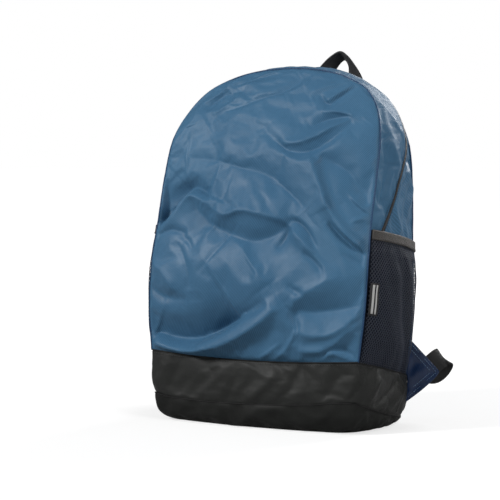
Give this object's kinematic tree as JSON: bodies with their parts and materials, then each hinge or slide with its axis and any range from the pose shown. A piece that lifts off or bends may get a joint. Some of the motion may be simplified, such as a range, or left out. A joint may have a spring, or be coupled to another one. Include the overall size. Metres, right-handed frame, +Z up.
{
  "type": "packable backpack",
  "caption": "Light packable backpack with net side pockets, a zip over the top, thin shoulder straps and a haul loop, standing on its base.",
  "frame": {"origin": "middle of the flat face under the base, where the backpack stands", "axes": "+Z up, -Y towards the front panel, +X to the right as seen from the front"},
  "size_m": [0.3672, 0.2423, 0.4478],
  "materials": {
    "blue_cloth": "thin ripstop nylon with a satin sheen",
    "deep_blue_cloth": "coated nylon, slightly glossy",
    "black_cloth": "matt coated nylon",
    "net": "open polyester net",
    "binding": "folded binding tape",
    "zip_tape": "woven zip tape with a coil",
    "webbing": "woven polypropylene webbing",
    "black_plastic": "moulded nylon",
    "slider_metal": "black painted zinc"
  },
  "bodies": {
    "root": {"front_panel": "blue_cloth", "front_gusset": "blue_cloth", "zip_band": "zip_tape", "rear_gusset": "blue_cloth", "side_panel_right": "blue_cloth", "side_panel_left": "blue_cloth", "back_panel": "blue_cloth", "base_band": "black_cloth", "base_panel": "black_cloth", "mesh_pocket_right": "net", "mesh_pocket_left": "net", "pocket_binding_right": "binding", "pocket_binding_left": "binding", "side_label": "webbing", "zip_slider": "slider_metal", "zip_pull": "webbing", "haul_loop": "webbing", "shoulder_strap_right": "blue_cloth", "shoulder_strap_left": "blue_cloth", "strap_buckle_right": "black_plastic", "strap_buckle_left": "black_plastic", "wing_tab_right": "deep_blue_cloth", "wing_tab_left": "deep_blue_cloth", "strap_webbing_right": "webbing", "strap_webbing_left": "webbing"}
  },
  "joints": []
}
